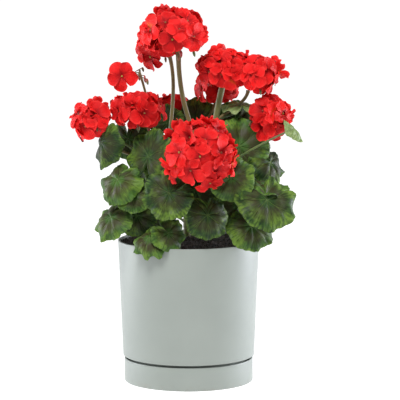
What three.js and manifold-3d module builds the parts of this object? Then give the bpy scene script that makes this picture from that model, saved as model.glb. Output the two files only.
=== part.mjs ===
// A potted zonal geranium: a saucer, a tapered pot with drain holes, potting mix, three main stems,
// leaves on their petioles, flower stalks and domed flower heads, each a solid of its own.
// Millimetres, +Z up. The origin is the centre of the saucer's underside, and -Y is the front.
import * as THREE from "three";
import { mergeVertices } from "three/addons/utils/BufferGeometryUtils.js";
import Module from "manifold-3d";

const wasm = await Module();
wasm.setup();

// ---- Driving dimensions, in millimetres unless said otherwise ----
const CLEARANCE = 0.3; // air between pieces that rest on or against each other

const SAUCER_RADIUS = 92.5;
const SAUCER_HEIGHT = 33.5;
const SAUCER_WALL = 3;
const SAUCER_FLOOR = 4;

const POT_RIM_RADIUS = 101.5;
const POT_BODY_HEIGHT = 167; // from the skirt, just above the saucer, to the rim
const POT_WALL = 3;
const SKIRT_OVERHANG = 2; // the skirt's reach beyond the saucer's rim
const SHADOW_GAP = 3.5; // the open line between saucer and skirt
const FOOT_PLAY = 5; // air around the foot inside the saucer
const EDGE_BREAK = 1.2; // small bevel on the pot's and saucer's edges
const DRAIN_HOLES = 5;
const DRAIN_RADIUS = 5;

const MIX_BELOW_RIM = 5;
const MIX_CROWN = 5; // how much higher the mix stands in the middle

const STEM_RADIUS = 5;
const STEM_ROOT_DEPTH = 34;
const PETIOLE_RADIUS = 1.6;
const INTERNODE = 8; // least distance between two petioles up one stem
const LOWEST_NODE = 12; // the first petiole's height above the mix
const PETIOLE_DROP = 0.75; // a petiole's rise for each millimetre that it reaches out

const LEAF_THICKNESS = 1.5;
const LEAF_SCALE = 1; // multiplies every blade's radius
const HEAD_SCALE = 1; // multiplies every flower head's radius
const HEAD_RELIEF = 0.07; // depth of the bumps on a flower head, as a share of its radius
const HEAD_UNDERSIDE = 0.45; // depth of a flower head behind its centre, as a share of its radius
const HEAD_HEIGHT = 0.92; // height of a flower head as a share of its width, unless it says another
const RECEPTACLE_WALL = 2.5; // thickness of the knob that sits on a stalk's end
const TRIM_TOLERANCE = 0.08; // how far a cut edge may move when it is tidied

// ---- Shapes, as plain shares and angles ----
const LEAVING = { out: 0.6, up: 0.8 }; // the direction in which a shoot leaves its stem
const STALK_LEAN = 0.5; // how far a stalk's end leans towards the way that its head faces
const PETIOLE_LEAN = 0.4; // how far a petiole's end leans towards the blade's tip
const MIX_SHOULDER = 0.8; // the crown's share that the mix has halfway out
const LOBE_ANGLE = 51; // degrees from one main vein and its lobe to the next
const LOBE_DEPTH = 0.035;
const BASE_LOBES = { from: 100, to: 150, shorter: 0.1 }; // degrees from the tip
const NOTCH = { left: 0.1, width: 0.36, power: 0.6 }; // share of the radius left, half width in radians
const HEAD_CORE = 0.42; // the part of a head's radius that its flower stems fill
const BUMPS = 7; // waves of the bumps across a head
const RIM_GROWTH = 1.5; // clearances by which a blade's rim grows outwards

// ---- Facets and steps ----
const ROUND_SIDES = 36; // round the pot and saucer
const DRAIN_SIDES = 10;
const STEM_SIDES = 8;
const STEM_STEPS = 7;
const STALK_SIDES = 6;
const STALK_STEPS = 6;
const PETIOLE_SIDES = 4;
const PETIOLE_STEPS = 5;
const BLADE_SIDES = 18;
const BLADE_RINGS = [0.5, 1]; // shares of the radius
const HALVINGS = 30; // of the search for a height on a stem

// ---- Levels and radii that follow ----
const FOOT_Z = SAUCER_FLOOR + CLEARANCE;
const SKIRT_Z = SAUCER_HEIGHT + SHADOW_GAP;
const RIM_Z = SKIRT_Z + POT_BODY_HEIGHT;
const MIX_Z = RIM_Z - MIX_BELOW_RIM;
const SKIRT_RADIUS = SAUCER_RADIUS + SKIRT_OVERHANG;
const FOOT_RADIUS = SAUCER_RADIUS - SAUCER_WALL - FOOT_PLAY;

// ---- The plant's habit ----
// A place is [bearing, reach, height]: degrees round the pot from the front, positive to the right,
// then millimetres from the pot's axis and above the mix.
const STEMS = {
  left: [[-107, 21, -STEM_ROOT_DEPTH], [-107, 27, 31], [-112, 32, 81], [-118, 30, 123]],
  right: [[80, 22, -STEM_ROOT_DEPTH], [81, 26, 61], [86, 32, 161], [93, 50, 232]],
  back: [[180, 26, -STEM_ROOT_DEPTH], [-173, 34, 21], [-177, 44, 91], [-178, 48, 146]],
};

// stem, place of the hub, blade radius, the bearing and elevation that the upper side faces, the turn of
// the tip from downhill, and the bends in degrees at the edge: all round, of the sides, of the tip.
// rim: the reach is counted from the pot's rim. sway: sideways bow of the petiole.
const LEAVES = [
  { stem: "left", hub: [-74, 128, 149], radius: 38, face: [-60, 8], turn: -12, bends: [10, 70, 15] },
  { stem: "left", hub: [-87, 86, 151], radius: 32, face: [-20, 5], turn: 5, bends: [15, 10, 10] },
  { stem: "left", hub: [-41, 86, 131], radius: 41, face: [-40, 12], turn: 175, bends: [8, 10, 12] },
  { stem: "left", hub: [-57, 119, 99], radius: 40, face: [-34, 44], turn: -12, bends: [45, 10, 25] },
  { stem: "left", hub: [-47, 105, 76], radius: 25, face: [-10, 25], turn: 0, bends: [10, 10, 10] },
  { stem: "left", hub: [-14, 111, 85], radius: 38, face: [-3, 22], turn: -70, bends: [12, 0, 10] },
  {
    stem: "left", hub: [-65, 20, 44], radius: 37, face: [-45, 42],
    turn: -15, bends: [30, 15, 20], rim: true,
  },
  {
    stem: "left", hub: [-59, -16, 45], radius: 30, face: [-10, 10],
    turn: -20, bends: [10, 0, 10], rim: true,
  },
  {
    stem: "left", hub: [-31, 5, 20], radius: 32, face: [-12, 56],
    turn: -10, bends: [45, 30, 55], rim: true,
  },
  {
    stem: "left", hub: [-17, -4, 27], radius: 27, face: [20, 30],
    turn: 40, bends: [20, 0, 15], rim: true,
  },
  { stem: "back", hub: [166, 49, 167], radius: 38, face: [0, 5], turn: 178, bends: [10, 0, 10] },
  { stem: "right", hub: [68, 78, 142], radius: 43, face: [8, 15], turn: 178, bends: [10, 0, 12] },
  { stem: "right", hub: [96, 109, 147], radius: 26, face: [70, 20], turn: 0, bends: [15, 10, 10] },
  { stem: "right", hub: [77, 119, 119], radius: 37, face: [48, 40], turn: 14, bends: [45, 0, 25] },
  { stem: "right", hub: [34, 106, 105], radius: 35, face: [15, 15], turn: 5, bends: [10, 0, 10] },
  { stem: "right", hub: [53, 137, 72], radius: 45, face: [24, 34], turn: 0, bends: [18, 0, 18] },
  { stem: "right", hub: [66, 121, 91], radius: 34, face: [50, 72], turn: 10, bends: [10, 0, 20] },
  {
    stem: "right", hub: [50, 14, 34], radius: 37, face: [22, 36],
    turn: 5, bends: [35, 0, 10], rim: true,
  },
  { stem: "right", hub: [15, 102, 53], radius: 36, face: [10, 28], turn: 0, bends: [20, 35, 20] },
  { stem: "right", hub: [59, 82, 59], radius: 30, face: [20, 30], turn: 0, bends: [10, 0, 10] },
  { stem: "right", hub: [13, 47, 82], radius: 34, face: [5, 20], turn: 20, bends: [10, 0, 10] },
  { stem: "right", hub: [106, 71, 175], radius: 29, face: [15, 10], turn: 175, bends: [10, 0, 10] },
  { stem: "right", hub: [92, 76, 198], radius: 30, face: [10, 78], turn: 175, bends: [10, 20, 20] },
  { stem: "left", hub: [-120, 36, 171], radius: 26, face: [-10, 10], turn: 175, bends: [10, 0, 10] },
  { stem: "left", hub: [-39, 51, 115], radius: 34, face: [-5, 15], turn: 0, bends: [10, 0, 10] },
  {
    stem: "right", hub: [74, 155, 169], radius: 22, face: [88, 48],
    turn: 0, bends: [10, 70, 30], sway: -25,
  },
  { stem: "back", hub: [124, 111, 113], radius: 40, face: [125, 38], turn: 0, bends: [20, 0, 15] },
  { stem: "back", hub: [158, 108, 101], radius: 42, face: [160, 36], turn: 0, bends: [20, 0, 15] },
  { stem: "back", hub: [-165, 106, 111], radius: 42, face: [190, 40], turn: 0, bends: [20, 0, 15] },
  { stem: "back", hub: [-133, 99, 77], radius: 40, face: [232, 40], turn: 0, bends: [20, 0, 15] },
  {
    stem: "back", hub: [143, 0, 37], radius: 38, face: [146, 34],
    turn: 0, bends: [30, 0, 15], rim: true,
  },
  {
    stem: "back", hub: [-149, -2, 33], radius: 38, face: [208, 34],
    turn: 0, bends: [30, 0, 15], rim: true,
  },
];

// place of the dome's centre, its radius, the bearing and elevation that it faces, the place where the
// stalk ends, the stem and height that the stalk leaves from, and the stalk's radius. sway: sideways
// bow of the stalk. flat: the dome's height as a share of its width. The third head sits on the right
// main stem itself and has no stalk of its own.
const HEADS = [
  {
    centre: [-110, 43, 283], radius: 35, face: [-50, 45], flat: 1.1,
    top: [-110, 30, 272], stem: "left", from: 115, stalk: 2.7, sway: 6,
  },
  {
    centre: [-62, 24, 299], radius: 50, face: [10, 60], flat: 0.68,
    top: [-70, 15, 276], stem: "right", from: 118, stalk: 3.4,
  },
  {
    centre: [92, 53, 247], radius: 40, face: [-25, 60], flat: 0.7,
    top: [95, 50, 232], stem: "right", from: 232, stalk: 0,
  },
  {
    centre: [84, 98, 240], radius: 33, face: [40, 50], flat: 0.85,
    top: [89, 85, 219], stem: "right", from: 173, stalk: 2.4,
  },
  {
    centre: [-69, 76, 195], radius: 40, face: [-10, 40], flat: 0.62,
    top: [-86, 64, 183], stem: "left", from: 109, stalk: 2.2,
  },
  {
    centre: [-85, 95, 240], radius: 22, face: [-60, 20],
    top: [-90, 70, 245], stem: "left", from: 119, stalk: 1.8,
  },
  {
    centre: [-80, 138, 178], radius: 31, face: [-60, 30],
    top: [-80, 119, 158], stem: "left", from: 97, stalk: 2,
  },
  {
    centre: [85, 114, 182], radius: 34, face: [50, 20],
    top: [87, 104, 165], stem: "right", from: 119, stalk: 2.2,
  },
  {
    centre: [143, 69, 219], radius: 32, face: [-20, 45], flat: 0.45,
    top: [142, 64, 207], stem: "back", from: 141, stalk: 2.4,
  },
  {
    centre: [10, 99, 138], radius: 52, face: [0, 30], flat: 1,
    top: [19, 61, 127], stem: "right", from: 53, stalk: 3,
  },
  {
    centre: [-160, 79, 180], radius: 31, face: [180, 50],
    top: [-160, 65, 167], stem: "back", from: 131, stalk: 2.4,
  },
];

// ---- Small helpers ----
const radians = THREE.MathUtils.degToRad;
const lerp = THREE.MathUtils.lerp;
const UP = new THREE.Vector3(0, 0, 1);

// [bearing, reach, height] as a point in the part's frame.
function place([bearing, reach, height], fromRim = false) {
  const out = reach + (fromRim ? POT_RIM_RADIUS : 0);
  const angle = radians(bearing);
  return new THREE.Vector3(out * Math.sin(angle), -out * Math.cos(angle), MIX_Z + height);
}

// The direction of a bearing and an elevation.
function heading([bearing, elevation]) {
  const [b, e] = [radians(bearing), radians(elevation)];
  return new THREE.Vector3(Math.cos(e) * Math.sin(b), -Math.cos(e) * Math.cos(b), Math.sin(e));
}

// A three.js geometry as a manifold-3d solid, with its faces turned outwards.
function solidOf(geometry) {
  const bare = (geometry.index ? geometry.toNonIndexed() : geometry).clone();
  bare.deleteAttribute("normal");
  bare.deleteAttribute("uv");
  const merged = mergeVertices(bare, 1e-4);
  const vertProperties = new Float32Array(merged.attributes.position.array);
  const triVerts = new Uint32Array(merged.index.array);
  const made = new wasm.Manifold(new wasm.Mesh({ numProp: 3, vertProperties, triVerts }));
  if (made.volume() > 0) return made;
  for (let i = 0; i < triVerts.length; i += 3) {
    [triVerts[i], triVerts[i + 1]] = [triVerts[i + 1], triVerts[i]];
  }
  return new wasm.Manifold(new wasm.Mesh({ numProp: 3, vertProperties, triVerts }));
}

// A solid as a named three.js mesh.
function meshOf(name, solid, material) {
  const { numProp, vertProperties, triVerts } = solid.getMesh();
  const positions = new Float32Array((vertProperties.length / numProp) * 3);
  for (let v = 0; v * numProp < vertProperties.length; v++) {
    positions.set(vertProperties.subarray(v * numProp, v * numProp + 3), v * 3);
  }
  const geometry = new THREE.BufferGeometry();
  geometry.setAttribute("position", new THREE.BufferAttribute(positions, 3));
  geometry.setIndex(new THREE.BufferAttribute(new Uint32Array(triVerts), 1));
  geometry.computeVertexNormals();
  const mesh = new THREE.Mesh(geometry, material);
  mesh.name = name;
  return mesh;
}

// A profile of [radius, height] points turned about the Z axis.
function turned(profile) {
  const points = profile.map(([r, z]) => new THREE.Vector2(r, z));
  return solidOf(new THREE.LatheGeometry(points, ROUND_SIDES).rotateX(Math.PI / 2));
}

// A round bar along points; a grown one is fatter and longer by grow all round.
function bar(points, radius, sides, grow = 0) {
  const [first, second, beforeLast, last] = [points[0], points[1], points.at(-2), points.at(-1)];
  const start = first.clone().addScaledVector(first.clone().sub(second).normalize(), grow);
  const end = last.clone().addScaledVector(last.clone().sub(beforeLast).normalize(), grow);
  const path = new THREE.CatmullRomCurve3([start, ...points.slice(1, -1), end]);
  const section = new THREE.Shape(
    Array.from({ length: sides }, (_, i) => {
      const angle = (2 * Math.PI * i) / sides;
      return new THREE.Vector2(Math.cos(angle), Math.sin(angle)).multiplyScalar(radius + grow);
    }),
  );
  const options = { steps: points.length - 1, extrudePath: path, bevelEnabled: false };
  return solidOf(new THREE.ExtrudeGeometry(section, options));
}

// ---- The pot, its saucer and the mix ----
function saucer() {
  const inner = SAUCER_RADIUS - SAUCER_WALL;
  return turned([
    [0, 0],
    [SAUCER_RADIUS - EDGE_BREAK, 0],
    [SAUCER_RADIUS, EDGE_BREAK],
    [SAUCER_RADIUS, SAUCER_HEIGHT - EDGE_BREAK],
    [SAUCER_RADIUS - EDGE_BREAK, SAUCER_HEIGHT],
    [inner, SAUCER_HEIGHT],
    [inner, SAUCER_FLOOR],
    [0, SAUCER_FLOOR],
  ]);
}

// The tapered wall's outer radius at a height.
function wallRadius(z) {
  return lerp(SKIRT_RADIUS, POT_RIM_RADIUS, (z - SKIRT_Z) / POT_BODY_HEIGHT);
}

function pot() {
  const ledge = SKIRT_Z + POT_WALL;
  const shell = turned([
    [0, FOOT_Z],
    [FOOT_RADIUS, FOOT_Z],
    [FOOT_RADIUS, SKIRT_Z],
    [SKIRT_RADIUS - EDGE_BREAK, SKIRT_Z],
    [wallRadius(SKIRT_Z + EDGE_BREAK), SKIRT_Z + EDGE_BREAK],
    [wallRadius(RIM_Z - EDGE_BREAK), RIM_Z - EDGE_BREAK],
    [POT_RIM_RADIUS - EDGE_BREAK, RIM_Z],
    [POT_RIM_RADIUS - POT_WALL, RIM_Z],
    [wallRadius(ledge) - POT_WALL, ledge],
    [FOOT_RADIUS - POT_WALL, ledge],
    [FOOT_RADIUS - POT_WALL, FOOT_Z + POT_WALL],
    [0, FOOT_Z + POT_WALL],
  ]);
  let drained = shell;
  for (let i = 0; i < DRAIN_HOLES; i++) {
    const angle = (2 * Math.PI * i) / DRAIN_HOLES;
    const hole = new THREE.CylinderGeometry(DRAIN_RADIUS, DRAIN_RADIUS, 4 * POT_WALL, DRAIN_SIDES);
    hole.rotateX(Math.PI / 2);
    hole.translate((FOOT_RADIUS / 2) * Math.cos(angle), (FOOT_RADIUS / 2) * Math.sin(angle), FOOT_Z);
    drained = drained.subtract(solidOf(hole));
  }
  return drained;
}

// The pot's wall above the saucer, grown by the clearance.
function potEnvelope() {
  return turned([
    [wallRadius(SKIRT_Z) - POT_WALL - CLEARANCE, SKIRT_Z],
    [wallRadius(SKIRT_Z) + CLEARANCE, SKIRT_Z],
    [POT_RIM_RADIUS + CLEARANCE, RIM_Z + CLEARANCE],
    [POT_RIM_RADIUS - POT_WALL - CLEARANCE, RIM_Z + CLEARANCE],
    [wallRadius(SKIRT_Z) - POT_WALL - CLEARANCE, SKIRT_Z],
  ]);
}

// The mix's surface from its edge in to the axis, raised by lift.
function mixSurface(edgeRadius, lift = 0) {
  return [
    [edgeRadius, MIX_Z + lift],
    [edgeRadius / 2, MIX_Z + MIX_SHOULDER * MIX_CROWN + lift],
    [0, MIX_Z + MIX_CROWN + lift],
  ];
}

// Everything below the mix's surface and inside the rim, with air above it.
function mixEnvelope() {
  return turned([[0, FOOT_Z], [POT_RIM_RADIUS, FOOT_Z], ...mixSurface(POT_RIM_RADIUS, CLEARANCE)]);
}

function pottingMix() {
  const bottom = FOOT_Z + POT_WALL + CLEARANCE;
  const shoulder = SKIRT_Z + POT_WALL + CLEARANCE;
  const inner = (z) => wallRadius(z) - POT_WALL - CLEARANCE;
  return turned([
    [0, bottom],
    [FOOT_RADIUS - POT_WALL - CLEARANCE, bottom],
    [FOOT_RADIUS - POT_WALL - CLEARANCE, shoulder],
    [inner(shoulder), shoulder],
    ...mixSurface(inner(MIX_Z)),
  ]);
}

// ---- Stems, stalks and petioles ----
const stemCurves = Object.fromEntries(
  Object.entries(STEMS).map(([name, places]) => [
    name,
    new THREE.CubicBezierCurve3(...places.map((p) => place(p))),
  ]),
);

// The point of a stem's centreline at a height above the mix.
function onStem(stem, height) {
  let [low, high] = [0, 1];
  for (let i = 0; i < HALVINGS; i++) {
    const middle = (low + high) / 2;
    if (stemCurves[stem].getPoint(middle).z < MIX_Z + height) low = middle;
    else high = middle;
  }
  return stemCurves[stem].getPoint(low);
}

// A bowed path that leaves a stem slanting up and outwards and comes in to its end along a direction.
function shoot(start, end, arrival, sway, steps) {
  const span = start.distanceTo(end);
  const out = end.clone().sub(start).setZ(0).normalize();
  const aside = new THREE.Vector3().crossVectors(UP, out).multiplyScalar(sway);
  const leave = out.clone().multiplyScalar(LEAVING.out).addScaledVector(UP, LEAVING.up);
  const first = start.clone().addScaledVector(leave, span / 3).add(aside);
  const last = end.clone().addScaledVector(arrival, -span / 3).add(aside);
  return new THREE.CubicBezierCurve3(start, first, last, end).getPoints(steps);
}

// The heights at which one stem's petioles leave it: lower leaves lower down, an internode apart.
function nodeHeights(stem) {
  const top = STEMS[stem].at(-1)[2] - STEM_RADIUS;
  const wanted = LEAVES.filter((leaf) => leaf.stem === stem).map((leaf) => {
    const hub = place(leaf.hub, leaf.rim);
    const reach = hub.clone().sub(onStem(stem, hub.z - MIX_Z)).setZ(0).length();
    return { leaf, height: hub.z - MIX_Z - PETIOLE_DROP * reach };
  });
  let lowest = LOWEST_NODE;
  for (const node of wanted.sort((a, b) => a.height - b.height)) {
    node.height = Math.min(Math.max(node.height, lowest), top);
    lowest = node.height + INTERNODE;
  }
  return new Map(wanted.map(({ leaf, height }) => [leaf, height]));
}
const heightOnStem = new Map(Object.keys(STEMS).flatMap((stem) => [...nodeHeights(stem)]));

// ---- Leaf blades ----
// The upper side's normal, the direction of the tip and the direction across, for a leaf's hub.
function bladeAxes({ face, turn }) {
  const normal = heading(face);
  const downhill = heading([face[0], face[1] - 90]);
  const across = new THREE.Vector3().crossVectors(normal, downhill);
  const tip = downhill.multiplyScalar(Math.cos(radians(turn)));
  tip.addScaledVector(across, Math.sin(radians(turn)));
  return { normal, tip, side: new THREE.Vector3().crossVectors(normal, tip) };
}

// The outline's radius at an angle from the tip, as a share of the blade's: round, with low lobes,
// shorter lobes at the base, and the narrow notch that runs in to the petiole.
function outline(angle, notched = true) {
  const a = Math.abs(angle);
  const atBase = THREE.MathUtils.smoothstep(a, radians(BASE_LOBES.from), radians(BASE_LOBES.to));
  const open = Math.min(1, Math.max(0, Math.PI - a) / NOTCH.width) ** NOTCH.power;
  const notch = notched ? lerp(NOTCH.left, 1, open) : 1;
  const lobes = 1 + LOBE_DEPTH * Math.cos((2 * Math.PI * a) / radians(LOBE_ANGLE));
  return (1 - BASE_LOBES.shorter * atBase) * notch * lobes;
}

// A blade as a thin closed shell, bent down more and more towards its edge.
function blade(leaf, grow = 0, notched = true) {
  const { normal, tip, side } = bladeAxes(leaf);
  const [cup, fold, droop] = leaf.bends.map(radians);
  const hub = place(leaf.hub, leaf.rim);
  const radius = leaf.radius * LEAF_SCALE;
  const half = LEAF_THICKNESS / 2 + grow;
  const point = (angle, share, lift) => {
    const r = share * outline(angle, notched) * radius + (share === 1 ? RIM_GROWTH * grow : 0);
    const tipward = Math.max(Math.cos(angle), 0);
    const bend = Math.max(1e-6, (r / radius) * (cup + fold * Math.sin(angle) ** 2 + droop * tipward ** 2));
    const along = tip.clone().multiplyScalar(Math.cos(angle)).addScaledVector(side, Math.sin(angle));
    return hub
      .clone()
      .addScaledVector(along, (r * Math.sin(bend)) / bend + lift * Math.sin(bend))
      .addScaledVector(normal, lift * Math.cos(bend) - (r * (1 - Math.cos(bend))) / bend);
  };
  const ring = (share, lift) =>
    Array.from({ length: BLADE_SIDES }, (_, i) => {
      return point((2 * Math.PI * i) / BLADE_SIDES - Math.PI, share, lift);
    });
  const grid = [half, -half].map((lift) => BLADE_RINGS.map((share) => ring(share, lift)));
  const centres = [half, -half].map((lift) => point(0, 0, lift));
  const positions = [];
  const triangle = (...corners) => corners.forEach((c) => positions.push(c.x, c.y, c.z));
  const quad = (a, b, c, d) => {
    triangle(a, b, c);
    triangle(a, c, d);
  };
  for (let i = 0; i < BLADE_SIDES; i++) {
    const j = (i + 1) % BLADE_SIDES;
    const [[innerTop, outerTop], [innerLow, outerLow]] = grid;
    triangle(centres[0], innerTop[i], innerTop[j]);
    quad(innerTop[i], outerTop[i], outerTop[j], innerTop[j]);
    quad(outerTop[i], outerLow[i], outerLow[j], outerTop[j]);
    quad(outerLow[i], innerLow[i], innerLow[j], outerLow[j]);
    triangle(centres[1], innerLow[j], innerLow[i]);
  }
  const geometry = new THREE.BufferGeometry();
  geometry.setAttribute("position", new THREE.Float32BufferAttribute(positions, 3));
  return solidOf(geometry);
}

// The room that a blade and the notch in it take up, with air all round.
function bladeRoom(leaf) {
  return blade(leaf, CLEARANCE).add(blade(leaf, CLEARANCE, false));
}

// ---- Flower heads ----
// A domed cluster: a low-backed ball with a bump for each floret, and the spray of flower stems under
// it, which narrows to a knob on the stalk's end.
function flowerHead(head, grow = 0) {
  const radius = head.radius * HEAD_SCALE;
  const height = head.flat ?? HEAD_HEIGHT;
  const centre = place(head.centre);
  const dome = new THREE.IcosahedronGeometry(1, 2);
  const position = dome.getAttribute("position");
  const facing = heading(head.face);
  const p = new THREE.Vector3();
  for (let i = 0; i < position.count; i++) {
    p.fromBufferAttribute(position, i).normalize();
    const bumps = Math.sin(BUMPS * p.x + 1) * Math.sin(BUMPS * p.y + 2) * Math.sin(BUMPS * p.z);
    const depth = lerp(1, HEAD_UNDERSIDE, THREE.MathUtils.smoothstep(-p.dot(facing), 0, 1));
    const reach = radius * depth * (1 + HEAD_RELIEF * bumps);
    position.setXYZ(i, p.x * (reach + grow), p.y * (reach + grow), p.z * (reach * height + grow));
  }
  const core = new THREE.IcosahedronGeometry(HEAD_CORE * radius + grow, 0).scale(1, 1, height);
  const knobRadius = (head.stalk || STEM_RADIUS) + RECEPTACLE_WALL + grow;
  const knob = new THREE.OctahedronGeometry(knobRadius, 1).translate(...place(head.top).toArray());
  const spray = wasm.Manifold.hull([solidOf(core).translate(centre.toArray()), solidOf(knob)]);
  return solidOf(dome).translate(centre.toArray()).add(spray);
}

// ---- Putting the pieces together without any two touching ----
const obstacles = []; // a slightly larger copy of each piece that is in place

function boxesMeet(a, b) {
  return [0, 1, 2].every((k) => a.min[k] < b.max[k] && b.min[k] < a.max[k]);
}

// What is left of a solid beside everything in place, apart from the pieces named in except.
function clearOf(solid, except = []) {
  let left = solid;
  for (const { name, grown } of obstacles) {
    if (except.includes(name)) continue;
    if (boxesMeet(left.boundingBox(), grown.boundingBox())) left = left.subtract(grown);
  }
  return left;
}

function biggest(solid) {
  const tidied = solid.simplify(TRIM_TOLERANCE);
  return tidied.decompose().reduce((a, b) => (b.volume() > a.volume() ? b : a));
}

const materials = {
  plastic: new THREE.MeshStandardMaterial({ color: 0xb4bcb7, roughness: 0.45, metalness: 0 }),
  mix: new THREE.MeshStandardMaterial({ color: 0x2e211a, roughness: 0.95, metalness: 0 }),
  stem: new THREE.MeshStandardMaterial({ color: 0x6d6136, roughness: 0.7, metalness: 0 }),
  leaf: new THREE.MeshStandardMaterial({ color: 0x3c6330, roughness: 0.55, metalness: 0 }),
  petal: new THREE.MeshStandardMaterial({ color: 0xe0201c, roughness: 0.6, metalness: 0 }),
};

const geranium = new THREE.Group();
function put(name, solid, grown, material) {
  obstacles.push({ name, grown });
  geranium.add(meshOf(name, solid, material));
}
const numbered = (word, index) => `${word}_${String(index + 1).padStart(2, "0")}`;

// Stems go through the mix, so they are made first and the mix is cut round them.
const stemPieces = Object.entries(stemCurves).map(([name, curve]) => {
  const points = curve.getPoints(STEM_STEPS);
  return { name: `main_stem_${name}`, points };
});
for (const { name, points } of stemPieces) {
  const grown = bar(points, STEM_RADIUS, STEM_SIDES, CLEARANCE);
  put(name, bar(points, STEM_RADIUS, STEM_SIDES), grown, materials.stem);
}
put("potting_mix", clearOf(pottingMix()), mixEnvelope(), materials.mix);
put("pot", pot(), potEnvelope(), materials.plastic);
put("saucer", saucer(), saucer(), materials.plastic);

HEADS.forEach((head, i) => {
  if (!head.stalk) return;
  const arrival = heading(head.face).multiplyScalar(STALK_LEAN).add(UP).normalize();
  const start = onStem(head.stem, head.from);
  const path = shoot(start, place(head.top), arrival, head.sway ?? 0, STALK_STEPS);
  const own = clearOf(bar(path, head.stalk, STALK_SIDES));
  const grown = bar(path, head.stalk, STALK_SIDES, CLEARANCE);
  put(numbered("flower_stalk", i), biggest(own), grown, materials.stem);
});

HEADS.forEach((head, i) => {
  const own = biggest(clearOf(flowerHead(head)));
  put(numbered("flower_head", i), own, flowerHead(head, CLEARANCE), materials.petal);
});

const petioles = LEAVES.map((leaf, i) => {
  const { normal, tip } = bladeAxes(leaf);
  const arrival = normal.addScaledVector(tip, PETIOLE_LEAN).normalize();
  const start = onStem(leaf.stem, heightOnStem.get(leaf));
  const path = shoot(start, place(leaf.hub, leaf.rim), arrival, leaf.sway ?? 0, PETIOLE_STEPS);
  const own = clearOf(bar(path, PETIOLE_RADIUS, PETIOLE_SIDES));
  const grown = bar(path, PETIOLE_RADIUS, PETIOLE_SIDES, CLEARANCE);
  obstacles.push({ name: numbered("petiole", i), grown });
  return own;
});

LEAVES.forEach((leaf, i) => {
  const own = clearOf(blade(leaf), [numbered("petiole", i)]);
  put(numbered("leaf", i), biggest(petioles[i].add(own)), bladeRoom(leaf), materials.leaf);
});

export default geranium;
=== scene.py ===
"""A red zonal geranium in a pale sage pot: its looks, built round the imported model, in metres."""
import math
import random

import bpy
from mathutils import Matrix, Vector


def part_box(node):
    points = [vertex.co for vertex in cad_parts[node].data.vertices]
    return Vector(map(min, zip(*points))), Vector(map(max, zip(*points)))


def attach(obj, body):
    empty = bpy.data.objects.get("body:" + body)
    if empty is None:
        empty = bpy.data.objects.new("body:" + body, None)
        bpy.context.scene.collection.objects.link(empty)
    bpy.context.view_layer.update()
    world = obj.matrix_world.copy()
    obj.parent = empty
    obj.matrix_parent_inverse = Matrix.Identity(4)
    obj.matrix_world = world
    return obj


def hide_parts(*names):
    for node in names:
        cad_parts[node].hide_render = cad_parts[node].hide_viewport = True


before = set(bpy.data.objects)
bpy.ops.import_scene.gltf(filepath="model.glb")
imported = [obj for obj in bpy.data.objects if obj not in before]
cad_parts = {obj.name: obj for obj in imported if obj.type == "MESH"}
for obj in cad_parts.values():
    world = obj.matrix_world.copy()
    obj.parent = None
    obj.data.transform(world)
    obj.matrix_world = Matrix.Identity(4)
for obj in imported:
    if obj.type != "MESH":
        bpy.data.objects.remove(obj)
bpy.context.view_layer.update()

# ---- Sizes: from the frame where it has them, otherwise in millimetres times MM ----
MM = 0.001
RIM_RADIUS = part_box("pot")[1].x
RIM_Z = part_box("pot")[1].z
FOOT_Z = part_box("pot")[0].z
SAUCER_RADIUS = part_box("saucer")[1].x
SAUCER_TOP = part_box("saucer")[1].z
CLEARANCE = 0.3 * MM

POT_WALL = 3 * MM
SAUCER_FLOOR = 4 * MM
SHADOW_GAP = 3.5 * MM
SKIRT_OVERHANG = 2 * MM
SKIRT_Z = SAUCER_TOP + SHADOW_GAP
SKIRT_RADIUS = SAUCER_RADIUS + SKIRT_OVERHANG
FOOT_RADIUS = SAUCER_RADIUS - POT_WALL - 5 * MM
DRAIN_HOLES = 5
DRAIN_RADIUS = 5 * MM
MIX_Z = RIM_Z - 5 * MM
MIX_CROWN = 5 * MM

STEM_RADIUS = 5 * MM
STEM_ROOT_DEPTH = 34
PETIOLE_RADIUS = 1.5 * MM
INTERNODE = 8 * MM
LOWEST_NODE = 12 * MM
PETIOLE_DROP = 0.75
LEAF_HALF_THICKNESS = 0.45 * MM
FLORET_REACH = 20 * MM

# ---- The plant's habit, as in the solid model ----
# A place is (bearing, reach, height): degrees round the pot from the front, positive to the right, then
# millimetres from the pot's axis, or from its rim for the hubs of RIM_LEAVES, and above the mix.
STEMS = {
    "left": [(-107, 21, -STEM_ROOT_DEPTH), (-107, 27, 31), (-112, 32, 81), (-118, 30, 123)],
    "right": [(80, 22, -STEM_ROOT_DEPTH), (81, 26, 61), (86, 32, 161), (93, 50, 232)],
    "back": [(180, 26, -STEM_ROOT_DEPTH), (-173, 34, 21), (-177, 44, 91), (-178, 48, 146)],
}

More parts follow.
